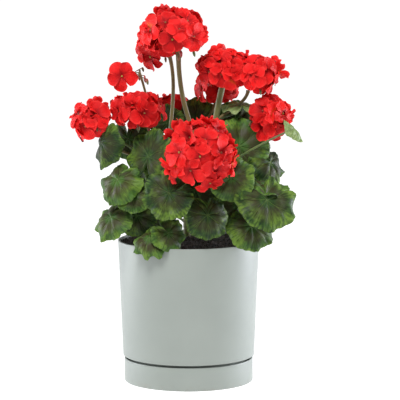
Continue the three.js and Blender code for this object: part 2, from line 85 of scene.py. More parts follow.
# stem, hub, blade radius, what the upper side faces, turn of the tip, bends (all round, sides, tip)
LEAVES = [
    ("left", (-74, 128, 149), 38, (-60, 8), -12, (10, 70, 15)),
    ("left", (-87, 86, 151), 32, (-20, 5), 5, (15, 10, 10)),
    ("left", (-41, 86, 131), 41, (-40, 12), 175, (8, 10, 12)),
    ("left", (-57, 119, 99), 40, (-34, 44), -12, (45, 10, 25)),
    ("left", (-47, 105, 76), 25, (-10, 25), 0, (10, 10, 10)),
    ("left", (-14, 111, 85), 38, (-3, 22), -70, (12, 0, 10)),
    ("left", (-65, 20, 44), 37, (-45, 42), -15, (30, 15, 20)),
    ("left", (-59, -16, 45), 30, (-10, 10), -20, (10, 0, 10)),
    ("left", (-31, 5, 20), 32, (-12, 56), -10, (45, 30, 55)),
    ("left", (-17, -4, 27), 27, (20, 30), 40, (20, 0, 15)),
    ("back", (166, 49, 167), 38, (0, 5), 178, (10, 0, 10)),
    ("right", (68, 78, 142), 43, (8, 15), 178, (10, 0, 12)),
    ("right", (96, 109, 147), 26, (70, 20), 0, (15, 10, 10)),
    ("right", (77, 119, 119), 37, (48, 40), 14, (45, 0, 25)),
    ("right", (34, 106, 105), 35, (15, 15), 5, (10, 0, 10)),
    ("right", (53, 137, 72), 45, (24, 34), 0, (18, 0, 18)),
    ("right", (66, 121, 91), 34, (50, 72), 10, (10, 0, 20)),
    ("right", (50, 14, 34), 37, (22, 36), 5, (35, 0, 10)),
    ("right", (15, 102, 53), 36, (10, 28), 0, (20, 35, 20)),
    ("right", (59, 82, 59), 30, (20, 30), 0, (10, 0, 10)),
    ("right", (13, 47, 82), 34, (5, 20), 20, (10, 0, 10)),
    ("right", (106, 71, 175), 29, (15, 10), 175, (10, 0, 10)),
    ("right", (92, 76, 198), 30, (10, 78), 175, (10, 20, 20)),
    ("left", (-120, 36, 171), 26, (-10, 10), 175, (10, 0, 10)),
    ("left", (-39, 51, 115), 34, (-5, 15), 0, (10, 0, 10)),
    ("right", (74, 155, 169), 22, (88, 48), 0, (10, 70, 30)),
    ("back", (124, 111, 113), 40, (125, 38), 0, (20, 0, 15)),
    ("back", (158, 108, 101), 42, (160, 36), 0, (20, 0, 15)),
    ("back", (-165, 106, 111), 42, (190, 40), 0, (20, 0, 15)),
    ("back", (-133, 99, 77), 40, (232, 40), 0, (20, 0, 15)),
    ("back", (143, 0, 37), 38, (146, 34), 0, (30, 0, 15)),
    ("back", (-149, -2, 33), 38, (208, 34), 0, (30, 0, 15)),
]
# Leaves are counted from 1.
YOUNG_LEAVES = (23, 26)
RIM_LEAVES = (7, 8, 9, 10, 18, 31, 32)
BOWED_PETIOLES = {26: -25}  # millimetres sideways

HEAD_FIELDS = ("centre", "radius", "face", "top", "stem", "from", "stalk", "sway", "flat", "seen")
# centre of the dome, its radius, what it faces, the stalk's end, the stem and height that the stalk
# leaves from, the stalk's radius and sideways bow, height of the dome as a share of its width, and the
# bearings and elevations of the flowers that stand out.
HEADS = [
    ((-110, 43, 283), 35, (-50, 45), (-110, 30, 272), "left", 115, 2.7, 6, 1.1,
     [(-35, -30), (-62, 32), (-10, 20), (-75, -8)]),
    ((-62, 24, 299), 50, (10, 60), (-70, 15, 276), "right", 118, 3.4, 0, 0.68,
     [(42, -2), (-2, -8), (-20, 40), (40, 45), (12, 20), (-50, 15)]),
    ((92, 53, 247), 40, (-25, 60), (95, 50, 232), "right", 232, 0, 0, 0.7,
     [(20, -14), (-45, 0), (-20, 35), (-90, 5), (35, 40), (-12, -8)]),
    ((84, 98, 240), 33, (40, 50), (89, 85, 219), "right", 173, 2.4, 0, 0.85,
     [(68, -28), (-15, 5), (30, 30), (-50, 45), (80, 15)]),
    ((-69, 76, 195), 40, (-10, 40), (-86, 64, 183), "left", 109, 2.2, 0, 0.5,
     [(16, -10), (-50, -5), (-80, -20), (-10, 50), (75, 15)]),
    ((-85, 95, 240), 22, (-60, 20), (-90, 70, 245), "left", 119, 1.8, 0, 0.92, [(-12, -4)]),
    ((-80, 138, 178), 31, (-60, 30), (-80, 119, 158), "left", 97, 2, 0, 0.92,
     [(15, 30), (-25, -15), (-60, 25), (-80, -30)]),
    ((85, 114, 182), 34, (50, 20), (87, 104, 165), "right", 119, 2.2, 0, 0.92,
     [(-20, 25), (15, -12), (50, 15), (45, -50)]),
    ((143, 69, 219), 32, (-20, 45), (142, 64, 207), "back", 141, 2.4, 0, 0.45,
     [(-60, 0), (5, 15), (60, 5)]),
    ((10, 99, 138), 52, (0, 30), (19, 61, 127), "right", 53, 3, 0, 1,
     [(-2, 2), (38, 8), (-42, 8), (30, -56), (8, 32), (-20, -24), (28, -20)]),
    ((-160, 79, 180), 31, (180, 50), (-160, 65, 167), "back", 131, 2.4, 0, 0.92, [(-30, 5), (30, 5)]),
]
OVERHANG = 75  # how many degrees past level behind its face a head still has flowers


# ---- Directions and paths ----
def place(spot, from_rim=False):
    """A (bearing, reach, height) as a point in the row frame."""
    bearing, reach, height = spot
    out = reach * MM + (RIM_RADIUS if from_rim else 0)
    angle = math.radians(bearing)
    return Vector((out * math.sin(angle), -out * math.cos(angle), MIX_Z + height * MM))


def heading(face):
    """The direction of a bearing and an elevation."""
    bearing, elevation = math.radians(face[0]), math.radians(face[1])
    return Vector((
        math.cos(elevation) * math.sin(bearing),
        -math.cos(elevation) * math.cos(bearing),
        math.sin(elevation),
    ))


def on_curve(corners, t):
    """The point of a cubic curve at a share of its way."""
    a, b, c, d = corners
    s = 1 - t
    return a * s**3 + b * (3 * s * s * t) + c * (3 * s * t * t) + d * t**3


def bezier(corners, steps):
    """Points along a cubic curve."""
    return [on_curve(corners, i / steps) for i in range(steps + 1)]


def on_stem(stem, height):
    """The point of a stem's centreline at a height above the mix, in metres."""
    corners = [place(p) for p in STEMS[stem]]
    low, high = 0.0, 1.0
    for _ in range(30):
        t = (low + high) / 2
        point = on_curve(corners, t)
        if point.z < MIX_Z + height:
            low = t
        else:
            high = t
    return point


def shoot_path(start, end, arrival, sway, steps):
    """A bowed path that leaves a stem slanting up and outwards and comes in to its end along arrival."""
    span = (end - start).length
    out = Vector((end.x - start.x, end.y - start.y, 0)).normalized()
    aside = Vector((0, 0, 1)).cross(out) * sway
    first = start + (out * 0.6 + Vector((0, 0, 0.8))) * (span / 3) + aside
    last = end - arrival * (span / 3) + aside
    return bezier([start, first, last, end], steps)


def petiole_heights():
    """The height at which each leaf's petiole leaves its stem: lower leaves lower, an internode apart."""
    heights = {}
    for stem, corners in STEMS.items():
        top = corners[-1][2] * MM - STEM_RADIUS
        wanted = []
        for index, leaf in enumerate(LEAVES):
            if leaf[0] == stem:
                hub = place(leaf[1], index + 1 in RIM_LEAVES)
                away = hub - on_stem(stem, hub.z - MIX_Z)
                wanted.append((hub.z - MIX_Z - PETIOLE_DROP * Vector((away.x, away.y)).length, index))
        lowest = LOWEST_NODE
        for height, index in sorted(wanted):
            heights[index] = min(max(height, lowest), top)
            lowest = heights[index] + INTERNODE
    return heights


def head_parts(row):
    """A flower head's sizes in metres, by name."""
    part = dict(zip(HEAD_FIELDS, row))
    part["lowest"] = part["face"][1] - OVERHANG
    for key in ("radius", "from", "stalk", "sway"):
        part[key] *= MM
    part.update(centre=place(part["centre"]), top=place(part["top"]), face=heading(part["face"]))
    return part


PETIOLE_HEIGHTS = petiole_heights()
HEAD_PARTS = [head_parts(row) for row in HEADS]


# ---- Node trees: arithmetic on a Number adds Math nodes ----
def connect(tree, value, socket):
    """Feeds a socket from a Number, from another socket, from a node's first output or with a constant."""
    if isinstance(value, Number):
        value = value.socket
    elif isinstance(value, bpy.types.Node):
        value = value.outputs[0]
    if isinstance(value, bpy.types.NodeSocket):
        tree.links.new(value, socket)
    else:
        socket.default_value = value


NODE_FAMILIES = {"SHADER": ("ShaderNode",), "GEOMETRY": ("GeometryNode", "FunctionNode", "ShaderNode")}


def add(tree, kind, settings=None, **inputs):
    """A node of a kind, by its type's name without the family, with inputs by name with _ for a space."""
    families = NODE_FAMILIES[tree.type]
    node = tree.nodes.new(next(family + kind for family in families if hasattr(bpy.types, family + kind)))
    for key, value in (settings or {}).items():
        setattr(node, key, value)
    for key, value in inputs.items():
        connect(tree, value, node.inputs[key.replace("_", " ")])
    return node


def number(tree, kind, output=0, settings=None, **inputs):
    """One output of a new node, to reckon with."""
    return Number(tree, add(tree, kind, settings, **inputs).outputs[output])


class Number:
    """A value that flows through a geometry or shader tree."""

    def __init__(self, tree, socket):
        self.tree, self.socket = tree, socket

    def math(self, operation, *others):
        node = add(self.tree, "Math", {"operation": operation})
        for socket, value in zip(node.inputs, (self, *others)):
            connect(self.tree, value, socket)
        return Number(self.tree, node.outputs[0])

    def __add__(self, other):
        return self.math("ADD", other)

    def __sub__(self, other):
        return self.math("SUBTRACT", other)

    def __mul__(self, other):
        return self.math("MULTIPLY", other)

    def __truediv__(self, other):
        return self.math("DIVIDE", other)

    def __pow__(self, other):
        return self.math("POWER", other)

    __radd__ = __add__
    __rmul__ = __mul__

    def __rsub__(self, other):
        return (self * -1.0).math("ADD", other)

    def __rtruediv__(self, other):
        return (self ** -1.0).math("MULTIPLY", other)

    def step(self, low, high, start=0.0, end=1.0):
        """Runs smoothly from start at low to end at high."""
        return number(
            self.tree, "MapRange", 0, {"interpolation_type": "SMOOTHSTEP"},
            Value=self, From_Min=low, From_Max=high, To_Min=start, To_Max=end,
        )


def attribute(tree, name, kind="FLOAT"):
    """A piece's own number or vector, by name."""
    if tree.type == "SHADER":
        return number(tree, "Attribute", "Fac", {"attribute_name": name})
    return number(tree, "InputNamedAttribute", 0, {"data_type": kind}, Name=name)


def vector(tree, x, y, z):
    return add(tree, "CombineXYZ", X=x, Y=y, Z=z)


def vector_math(tree, operation, *values):
    node = add(tree, "VectorMath", {"operation": operation})
    sockets = [node.inputs[0], node.inputs["Scale"]] if operation == "SCALE" else node.inputs
    for socket, value in zip(sockets, values):
        connect(tree, value, socket)
    return node


def noise(tree, where, scale, detail=2.0):
    """Noise from 0 to 1 at a position."""
    return number(tree, "TexNoise", Vector=where, Scale=scale, Detail=detail)


def random_vector(tree, low, high, seed):
    return add(tree, "RandomValue", {"data_type": "FLOAT_VECTOR"}, Min=low, Max=high, Seed=seed)


def geometry_tree(name, **kinds):
    """A geometry tree with inputs named by kind, as (tree, {name: Number}, what sets the result)."""
    tree = bpy.data.node_groups.new(name, "GeometryNodeTree")
    for way in ("INPUT", "OUTPUT"):
        tree.interface.new_socket("Geometry", in_out=way, socket_type="NodeSocketGeometry")
    for kind, names in kinds.items():
        for key in names.split():
            tree.interface.new_socket(key, in_out="INPUT", socket_type="NodeSocket" + kind)
    given = tree.nodes.new("NodeGroupInput").outputs
    result = tree.nodes.new("NodeGroupOutput").inputs[0]
    return tree, {socket.name: Number(tree, socket) for socket in given if socket.name}, result


def finish_tree(tree, geometry, material, result, before=None):
    """Ends a tree in Realize Instances and Set Material."""
    realized = add(tree, "RealizeInstances", Geometry=geometry)
    shape = before(realized) if before else realized
    connect(tree, add(tree, "SetMaterial", Geometry=shape, Material=material), result)


def put(name, data):
    """A new object in the scene."""
    made = bpy.data.objects.new(name, data)
    bpy.context.scene.collection.objects.link(made)
    return made


def grown(name, mesh, tree, **values):
    """The plain mesh that a geometry tree makes of a mesh."""
    maker = put(name + "_maker", mesh)
    modifier = maker.modifiers.new("shape", "NODES")
    modifier.node_group = tree
    for item in tree.interface.items_tree:
        if item.in_out == "INPUT" and item.name in values:
            modifier[item.identifier] = values[item.name]
    depsgraph = bpy.context.evaluated_depsgraph_get()
    made = bpy.data.meshes.new_from_object(
        maker.evaluated_get(depsgraph), preserve_all_data_layers=True, depsgraph=depsgraph
    )
    maker.modifiers.remove(modifier)
    bpy.data.objects.remove(maker)
    made.name = name
    return made


def shown(name, *meshes):
    """One object, at the origin, that holds all the meshes."""
    parts = [put(name, mesh) for mesh in meshes]
    if len(parts) > 1:
        with bpy.context.temp_override(active_object=parts[0], selected_editable_objects=parts):
            bpy.ops.object.join()
    parts[0].name = name
    return parts[0]


def stand_for(node, slot, ending, *meshes):
    """A piece that replaces a node and rides on the plant's one body. The slot is not used."""
    piece = shown(node + ending, *meshes)
    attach(piece, "root")
    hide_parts(node)


def mesh_of(name, points, faces, numbers=None):
    """A smooth mesh with point attributes from {name: values}."""
    mesh = bpy.data.meshes.new(name)
    mesh.from_pydata([tuple(p) for p in points], [], faces)
    for key, values in (numbers or {}).items():
        kind = "FLOAT_VECTOR" if isinstance(values[0], (tuple, Vector)) else "FLOAT"
        layer = mesh.attributes.new(key, kind, "POINT")
        for item, value in zip(layer.data, values):
            if kind == "FLOAT":
                item.value = value
            else:
                item.vector = value
    mesh.shade_smooth()
    return mesh


def gathered(rows):
    """Rows of named values as lists by name."""
    return {key: [row[key] for row in rows] for key in rows[0]}


# ---- Shader groups shared by several materials ----
def shader_group(name, outputs, **inputs):
    """A shader node group of numbers, as (group, {input: Number}, {output: socket})."""
    group = bpy.data.node_groups.new(name, "ShaderNodeTree")
    for key in outputs.split():
        group.interface.new_socket(key, in_out="OUTPUT", socket_type="NodeSocketFloat")
    for key, value in inputs.items():
        socket = group.interface.new_socket(key, in_out="INPUT", socket_type="NodeSocketFloat")
        socket.default_value = value
    given, out = group.nodes.new("NodeGroupInput").outputs, group.nodes.new("NodeGroupOutput").inputs
    return group, {key: Number(group, given[key]) for key in inputs}, out


def layered(tree, colour, *layers):
    """A colour with others laid over it, each as (how much, colour)."""
    for amount, over in layers:
        node = add(tree, "Mix", {"data_type": "RGBA", "clamp_factor": True}, Factor=amount)
        for socket, value in zip([s for s in node.inputs if s.type == "RGBA"], (colour, over)):
            connect(tree, (*value, 1.0) if isinstance(value, tuple) else value, socket)
        colour = next(s for s in node.outputs if s.type == "RGBA")
    return colour


LOBE = math.radians(51)  # the angle between one main vein and the next


def vein_distance(share, angle):
    """How far a point of a blade lies from the nearest main or forked vein, as a share of its radius."""
    off = angle.math("PINGPONG", LOBE / 2)
    first_fork = (1.0 - 0.34 / share.math("MAXIMUM", 0.05)).math("MAXIMUM", 0.0) * 0.26
    second_fork = (1.0 - 0.64 / share.math("MAXIMUM", 0.05)).math("MAXIMUM", 0.0) * 0.2
    forked = (off - first_fork).math("ABSOLUTE")
    outer = (off - first_fork - second_fork).math("ABSOLUTE")
    return off.math("MINIMUM", forked).math("MINIMUM", outer) * share


def blade_pattern_group():
    """Where a blade has veins, its brown zone, its pale margin and flushes, and streaks along the veins."""
    group, _, out = shader_group("Blade pattern", "Vein Zone Margin Patch Flush")
    tip, across, tone = (attribute(group, key) for key in ("tip", "across", "tone"))
    share = (tip * tip + across * across).math("SQRT")
    turn = across.math("ARCTAN2", tip)
    where = vector(group, tip, across, tone * 9.0)
    wobble = noise(group, where, 3.0, 3.0) - 0.5
    distance = vein_distance(share + wobble * 0.03, turn.math("ABSOLUTE") + wobble * 0.05)
    width = share.step(0.0, 1.0, 0.022, 0.009)
    edge = share + wobble * 0.22
    streak = noise(group, vector(group, turn * 5.0, share * 1.4, tone * 9.0), 3.0, 3.0)
    slow = noise(group, vector_math(group, "ADD", where, (3.0, 7.0, 0.0)), 1.5, 4.0)
    masks = {
        "Vein": distance.step(width * 0.3, width, 1.0, 0.0) * share.step(0.35, 0.95, 1.0, 0.25),
        "Zone": edge.step(0.16, 0.4) * edge.step(0.5, 0.85, 1.0, 0.0),
        "Margin": edge.step(0.8, 1.04),
        "Patch": noise(group, where, 8.0, 4.0) * 0.4 + streak * 0.6,
        "Flush": slow.step(0.48, 0.62) * edge.step(0.3, 0.8),
    }
    for key, mask in masks.items():
        connect(group, mask, out[key])
    return group


def object_position(tree):
    return add(tree, "TexCoord").outputs["Object"]


def mottle_group():
    """Slow and fast unevenness of a surface, for its colour and its roughness, and a fine grain."""
    group, given, out = shader_group("Mottle", "Slow Fast Grain", Slow=12.0, Fast=160.0, Grain=900.0)
    for key, detail in (("Slow", 3.0), ("Fast", 4.0), ("Grain", 2.0)):
        connect(group, noise(group, object_position(group), given[key], detail), out[key])
    return group


BLADE_PATTERN = blade_pattern_group()
MOTTLE = mottle_group()


def use_group(tree, group, **values):
    node = add(tree, "Group", {"node_tree": group}, **values)
    return {s.name: Number(tree, s) for s in node.outputs}


def material(name, roughness, **constants):
    """A material as (material, its tree), with constants set on its Principled BSDF."""
    made = bpy.data.materials.new(name)
    made.use_nodes = True
    for key, value in {"Roughness": roughness, **constants}.items():
        made.node_tree.nodes["Principled BSDF"].inputs[key.replace("_", " ")].default_value = value
    return made, made.node_tree


def surfaced(made, colour, roughness, height, depth, strength):
    """The material with its colour, its roughness and bumps of a height."""
    tree = made.node_tree
    shader = tree.nodes["Principled BSDF"].inputs
    bumps = add(tree, "Bump", Strength=strength, Distance=depth, Height=height)
    for key, value in (("Base Color", colour), ("Roughness", roughness), ("Normal", bumps)):
        connect(tree, value, shader[key])
    return made


# ---- Materials ----
def sage_plastic():
    """Pale sage moulded plastic: satin, a faint grain, lighter where the edges have been handled."""
    made, tree = material("sage_plastic", 0.42)
    uneven = use_group(tree, MOTTLE, Slow=9.0, Fast=120.0, Grain=1400.0)
    worn = number(tree, "NewGeometry", "Pointiness").step(0.52, 0.6) * uneven["Fast"].step(0.35, 0.65)
    low = number(tree, "SeparateXYZ", "Z", Vector=object_position(tree)).step(0.0, 0.012, 1.0, 0.0)
    colour = layered(
        tree, (0.275, 0.306, 0.28), (uneven["Slow"].step(0.3, 0.7), (0.3, 0.332, 0.304)),
        (worn * 0.35, (0.42, 0.45, 0.42)), (low * uneven["Fast"].step(0.45, 0.7) * 0.3, (0.25, 0.23, 0.19)),
    )
    return surfaced(made, colour, uneven["Fast"].step(0.2, 0.8, 0.36, 0.48), uneven["Grain"], 0.00006, 0.5)


def potting_mix():
    """Damp peat and bark: nearly black, with brown fibres."""
    made, tree = material("potting_mix", 0.9)
    uneven = use_group(tree, MOTTLE, Slow=60.0, Fast=420.0, Grain=1500.0)
    colour = layered(
        tree, (0.012, 0.009, 0.007), (uneven["Slow"].step(0.35, 0.7), (0.035, 0.022, 0.014)),
        (uneven["Fast"].step(0.55, 0.75) * 0.6, (0.09, 0.055, 0.032)),
    )
    rough = uneven["Fast"].step(0.3, 0.7, 0.75, 0.98)
    return surfaced(made, colour, rough, uneven["Fast"] + uneven["Grain"] * 0.4, 0.0012, 0.8)


def green_shoot(name, low, high, streak):
    """A living stem: long streaks, a downy sheen and a fine pitted skin."""
    made, tree = material(name, 0.55, Sheen_Weight=0.25, Sheen_Roughness=0.5)
    stretched = add(tree, "Mapping", Vector=object_position(tree), Scale=(1.0, 1.0, 0.12))
    streaks = noise(tree, stretched, 420.0, 3.0)
    uneven = use_group(tree, MOTTLE, Slow=24.0, Fast=300.0, Grain=1800.0)
    colour = layered(
        tree, low, (uneven["Slow"].step(0.35, 0.65), high), (streaks.step(0.5, 0.72) * 0.55, streak)
    )
    rough = uneven["Fast"].step(0.3, 0.7, 0.45, 0.65)
    return surfaced(made, colour, rough, streaks + uneven["Grain"] * 0.5, 0.0003, 0.6)


def blade_upper(name, deep, fresh, zone, margin, vein, zone_strength):
    """The upper side of a blade: brown zone, pale scalloped margin and sunken pale veins."""
    made, tree = material(name, 0.45, Specular_IOR_Level=0.22)
    marks = use_group(tree, BLADE_PATTERN)
    tone, slack, patch = attribute(tree, "tone"), attribute(tree, "slack"), marks["Patch"]
    colour = layered(
        tree, deep, ((patch.step(0.3, 0.75) * 0.6 + tone * 0.5).step(0.1, 1.0), fresh),
        (marks["Zone"] * (tone * 0.4 + zone_strength), zone),
        (marks["Flush"] * patch.step(0.3, 0.65, 0.1, 0.8), margin),
        (marks["Margin"] * patch.step(0.35, 0.65, 0.0, 0.6), margin),
        (marks["Vein"] * (slack * 0.4 + 0.12), vein),
    )
    rough = patch.step(0.3, 0.7, 0.42, 0.62)
    return surfaced(made, colour, rough, patch * 0.7 - marks["Vein"] * 0.9, 0.0009, 0.9)


def blade_under(name, flat, vein):
    """The underside: duller and paler, with raised veins."""
    made, tree = material(name, 0.65, Specular_IOR_Level=0.25, Sheen_Weight=0.15, Sheen_Roughness=0.5)
    marks = use_group(tree, BLADE_PATTERN)
    shade = marks["Patch"].step(0.3, 0.7)
    colour = layered(
        tree, flat, (shade, tuple(c * 0.75 for c in flat)),
        (marks["Zone"] * 0.3, (0.09, 0.05, 0.03)), (marks["Vein"] * 0.6, vein),
    )
    return surfaced(made, colour, shade * 0.15 + 0.55, marks["Vein"] + marks["Patch"] * 0.4, 0.0006, 0.8)


def petal_red():
    """Scarlet petals: dark rays at the throat, deepened there by painted shade, a painted highlight along
    the rim and sides, fine veins and now and then a golden flush.
    """
    made, tree = material("petal_red", 0.55, Specular_IOR_Level=0.14)
    along, wide, tone, bloom = (attribute(tree, key) for key in ("along", "wide", "tone", "bloom"))
    own = tone * 7.0 + bloom * 5.0
    rays = noise(tree, vector(tree, wide * 3.0, along * 0.8, own), 4.0, 3.0)
    veins = noise(tree, vector(tree, wide * 9.0, along * 0.7, own), 4.0, 2.0)
    # where the painted highlight falls along a petal's sides
    sides = wide.math("ABSOLUTE").step(0.7, 1.0) * along.step(0.3, 0.5)
    gold = bloom.step(0.78, 0.84) * tone.step(0.5, 0.65) * along.step(0.05, 0.15)
    colour = layered(
        tree, (0.46, 0.003, 0.004),
        ((tone * 0.45 + bloom * 0.55 + rays * 0.35).step(0.25, 1.0), (0.84, 0.013, 0.013)),
        # painted highlight: the rim and sides lightened to pinkish red, as where light catches a thin petal
        # edge
        (along.step(0.78, 1.0).math("MAXIMUM", sides) * 0.4, (0.98, 0.06, 0.05)),
        (gold * along.step(0.2, 0.5, 1.0, 0.0) * 0.6, (0.85, 0.2, 0.01)),
        (veins.step(0.5, 0.75) * along.step(0.3, 0.95, 0.55, 0.1), (0.4, 0.002, 0.008)),
        # dark red rays at the throat: partly the petals' own marking, partly painted shade deep in the
        # flower's centre
        (along.step(0.08, 0.5, 1.0, 0.0) * rays.step(0.3, 0.55) * 0.8, (0.2, 0.001, 0.004)),
    )
    return surfaced(made, colour, rays.step(0.2, 0.8, 0.45, 0.62), rays + veins * 0.6, 0.0006, 0.8)


def plain_part(name, low, high, roughness):
    """A small plant part with an uneven colour."""
    made, tree = material(name, roughness, Sheen_Weight=0.2)
    uneven = use_group(tree, MOTTLE, Slow=90.0, Fast=500.0, Grain=2000.0)
    colour = layered(tree, low, (uneven["Slow"].step(0.35, 0.65), high))
    rough = uneven["Fast"].step(0.2, 0.8, roughness - 0.08, roughness + 0.08)
    return surfaced(made, colour, rough, uneven["Grain"], 0.0002, 0.5)


PLASTIC = sage_plastic()
MIX = potting_mix()
STEM_BARK = green_shoot("stem_bark", (0.13, 0.15, 0.035), (0.17, 0.17, 0.05), (0.08, 0.06, 0.02))
STALK_SKIN = green_shoot("stalk_skin", (0.15, 0.13, 0.035), (0.2, 0.15, 0.05), (0.1, 0.045, 0.02))
PETIOLE_SKIN = green_shoot("petiole_skin", (0.06, 0.12, 0.025), (0.1, 0.15, 0.03), (0.1, 0.06, 0.02))
LEAF_UPPER = blade_upper(
    "leaf_upper", (0.007, 0.025, 0.005), (0.058, 0.14, 0.02), (0.038, 0.026, 0.011), (0.15, 0.25, 0.03),
    (0.16, 0.24, 0.06), 0.5,
)
LEAF_UNDER = blade_under("leaf_under", (0.07, 0.12, 0.04), (0.15, 0.2, 0.08))
YOUNG_UPPER = blade_upper(
    "young_leaf_upper", (0.13, 0.2, 0.06), (0.22, 0.3, 0.1), (0.16, 0.18, 0.06), (0.34, 0.42, 0.18),
    (0.34, 0.4, 0.2), 0.1,
)
YOUNG_UNDER = blade_under("young_leaf_under", (0.2, 0.28, 0.09), (0.3, 0.36, 0.14))
PETAL = petal_red()
PEDICEL = plain_part("pedicel", (0.08, 0.12, 0.03), (0.16, 0.05, 0.03), 0.55)
BUD = plain_part("bud", (0.1, 0.14, 0.04), (0.35, 0.03, 0.03), 0.55)
EYE = plain_part("flower_eye", (0.35, 0.25, 0.03), (0.25, 0.02, 0.01), 0.5)


# ---- Shoots: stems, stalks, petioles and pedicels ----
def tube_along(tree, given, line, sides, radius, result, thick=None):
    """Ends a tree in smooth capped tubes round its lines."""
    section = add(tree, "CurvePrimitiveCircle", Resolution=sides, Radius=radius)
    tube = add(tree, "CurveToMesh", Curve=line, Profile_Curve=section, Fill_Caps=True)
    if thick and "Scale" in tube.inputs:
        connect(tree, thick, tube.inputs["Scale"])
    finish_tree(tree, add(tree, "SetShadeSmooth", Geometry=tube), given["Material"], result)
    return tree


def shoot_tree():
    """A round shoot along a line of points, as thick as the points say."""
    tree, given, result = geometry_tree("Shoot", Int="Sides", Material="Material")
    thick = attribute(tree, "thick")
    line = add(tree, "MeshToCurve", Mesh=given["Geometry"])
    line = add(tree, "SetCurveRadius", Curve=line, Radius=thick)
    return tube_along(tree, given, line, given["Sides"], 1.0, result, thick)


SHOOT = shoot_tree()


def shoot(name, points, radii, sides, skin):
    """A shoot's mesh from its centreline and radii."""
    line = bpy.data.meshes.new(name + "_line")
    line.from_pydata([tuple(p) for p in points], [(i, i + 1) for i in range(len(points) - 1)], [])
    line.attributes.new("thick", "FLOAT", "POINT").data.foreach_set("value", radii)
    return grown(name, line, SHOOT, Sides=sides, Material=skin)


# ---- Leaves ----
RINGS = (0.04, 0.12, 0.24, 0.36, 0.48, 0.6, 0.72, 0.83, 0.92, 0.98, 1.0)
BLADE_SAMPLES = 105
SCALLOPS = 21
PETIOLE_STEPS = 16
PETIOLE_SIDES = 8


def blade_sheet():
    """A flat round sheet with two sides and a rim, whose points know where they are on the blade."""
    points, faces, rows, spots = [], [], {}, []

    def add_point(share, angle, side):
        tip, across = share * math.cos(angle), share * math.sin(angle)
        points.append((tip, across, side * 0.01))
        spots.append({"tip": tip, "across": across, "side": side})
        return len(points) - 1

    angles = [2 * math.pi * i / BLADE_SAMPLES for i in range(BLADE_SAMPLES)]
    for side, turn in ((1.0, 1), (-1.0, -1)):
        centre = add_point(0.0, 0.0, side)
        rows[side] = [[add_point(share, a, side) for a in angles] for share in RINGS]
        for i in range(BLADE_SAMPLES):
            j = (i + 1) % BLADE_SAMPLES
            faces.append((centre, rows[side][0][i], rows[side][0][j])[::turn])
            for inner, outer in zip(rows[side], rows[side][1:]):
                faces.append((inner[i], outer[i], outer[j], inner[j])[::turn])
    top, low = rows[1.0][-1], rows[-1.0][-1]
    for i in range(BLADE_SAMPLES):
        j = (i + 1) % BLADE_SAMPLES
        faces.append((top[i], low[i], low[j], top[j]))
    return mesh_of("blade_sheet", points, faces, gathered(spots))


def blade_tree():
    """Shapes the flat sheet into a zonal leaf: lobed, notched and scalloped, puckered and bent down."""
    tree, given, result = geometry_tree(
        "Leaf blade", Float="Radius Thickness Cup Fold Droop Lobes Scallop Pucker Pleat Wave Seed",
        Material="Upper Under",
    )
    tip, across, side = (attribute(tree, key) for key in ("tip", "across", "side"))
    share = (tip * tip + across * across).math("SQRT").math("MAXIMUM", 0.0001)
    cosine, sine = tip / share, across / share
    turn = across.math("ARCTAN2", tip)
    angle = turn.math("ABSOLUTE")
    lobe = (angle * (2 * math.pi / LOBE)).math("COSINE")

    # Outline: shorter lobes at the base, a notch down to the petiole, low lobes and fine scallops.
    base = angle.step(math.radians(100), math.radians(150), 1.0, 0.9)
    notch = ((math.pi - angle) / 0.36).math("MINIMUM", 1.0).math("MAXIMUM", 0.0) ** 0.6 * 0.9 + 0.1
    teeth = ((angle * (SCALLOPS / 2)).math("SINE").math("ABSOLUTE") - 0.6) * given["Scallop"]
    uneven = noise(tree, vector(tree, cosine, sine, given["Seed"]), 1.6, 2.0) - 0.5
    r = share * (base * notch * (lobe * given["Lobes"] + 1.0 + teeth * share ** 6.0 + uneven * 0.2))

    # Height above the bent sheet: thickness, puckers between veins, sunken veins and a wavy margin.
    off = angle.math("PINGPONG", LOBE / 2)
    pucker = off.step(0.0, LOBE / 2) * share.step(0.05, 0.5) * share.step(0.8, 1.0, 1.0, 0.3)
    groove = vein_distance(share, angle).step(0.0, 0.05, 1.0, 0.0) * share.step(0.0, 0.2)
    wave = noise(tree, vector(tree, tip, across, given["Seed"] + 5.0), 2.2, 1.0) - 0.5
    frill = (turn * 7.0 + given["Seed"] * 3.0).math("SINE") * share ** 4.0
    lift = side * given["Thickness"] / given["Radius"]
    lift = lift + pucker * given["Pucker"] - groove * given["Pucker"] * 0.45
    lift = lift + (wave * share * 2.4 + frill * 0.35) * given["Wave"]
    lift = lift + lobe * share * share * given["Pleat"]

    # Bend the sheet down towards its edge.
    tipward = cosine.math("MAXIMUM", 0.0)
    bend = r * (given["Cup"] + given["Fold"] * sine * sine + given["Droop"] * tipward * tipward) + 0.0001
    radial = r * bend.math("SINE") / bend + lift * bend.math("SINE")
    height = lift * bend.math("COSINE") - r * (1.0 - bend.math("COSINE")) / bend
    spot = vector(tree, radial * cosine, radial * sine, height)
    placed = add(
        tree, "SetPosition", Geometry=given["Geometry"],
        Position=vector_math(tree, "SCALE", spot, given["Radius"]),
    )
    under = add(
        tree, "SetMaterial", Geometry=add(tree, "RealizeInstances", Geometry=placed),
        Material=given["Under"],
    )
    is_top = side.math("GREATER_THAN", 0.5)
    upper = add(tree, "SetMaterial", Geometry=under, Selection=is_top, Material=given["Upper"])
    connect(tree, upper, result)
    return tree


BLADE = blade_tree()
SHEET = blade_sheet()


